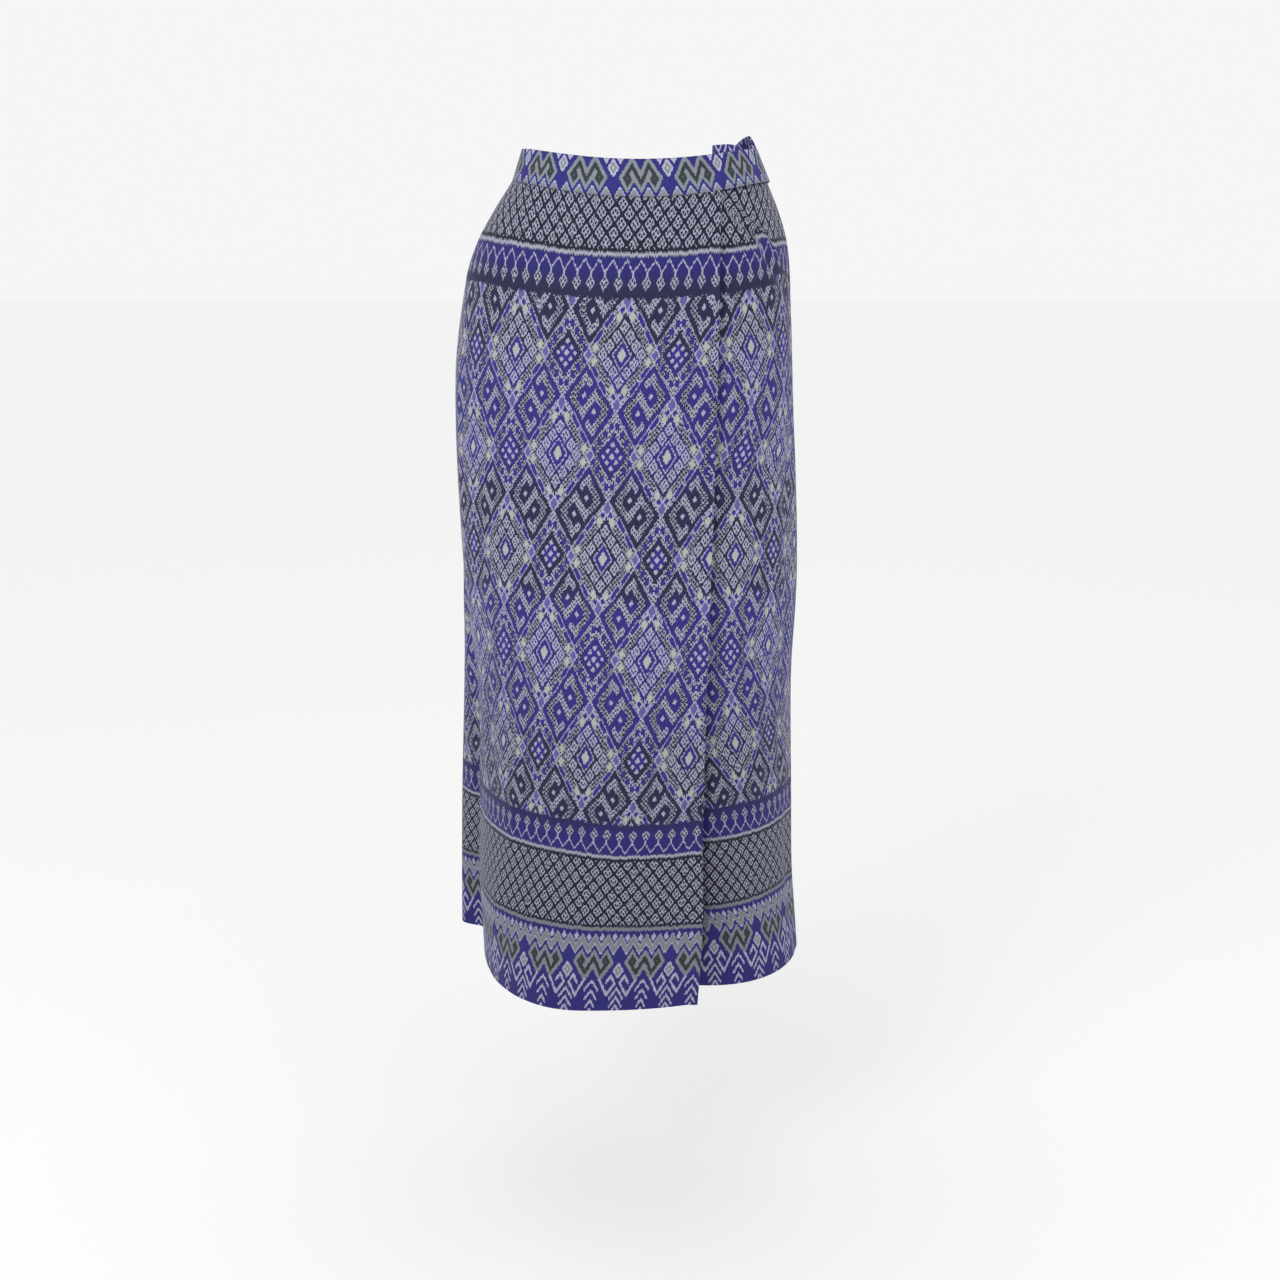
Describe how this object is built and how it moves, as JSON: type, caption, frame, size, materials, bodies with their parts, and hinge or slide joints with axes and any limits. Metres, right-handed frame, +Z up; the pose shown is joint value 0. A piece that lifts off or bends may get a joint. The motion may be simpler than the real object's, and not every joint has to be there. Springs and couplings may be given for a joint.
{
  "type": "skirt pants",
  "caption": "Worn, hollow skirt pants: wide culotte legs under a wrap-over front flap, with a shaped waistband, in tie-dyed border cloth.",
  "frame": {"origin": "centre of the waist opening, level with the top of the waistband at the sides", "axes": "+Z up, -Y to the front where the flap is, +X to the viewer's right as they face the front"},
  "size_m": [0.395, 0.3031, 0.8874],
  "materials": {
    "mudmee_cloth": "woven cotton and silk with a soft sheen, tie-dyed (ikat) pattern in blue, navy and grey-white",
    "waistband_cloth": "the same cloth doubled, with the border figures turned upside down"
  },
  "bodies": {
    "root": {"wrap_panel": "mudmee_cloth", "left_leg_front": "mudmee_cloth", "right_leg_front": "mudmee_cloth", "left_leg_back": "mudmee_cloth", "right_leg_back": "mudmee_cloth", "waistband_front": "waistband_cloth", "waistband_under": "waistband_cloth", "waistband_back": "waistband_cloth"}
  },
  "joints": []
}
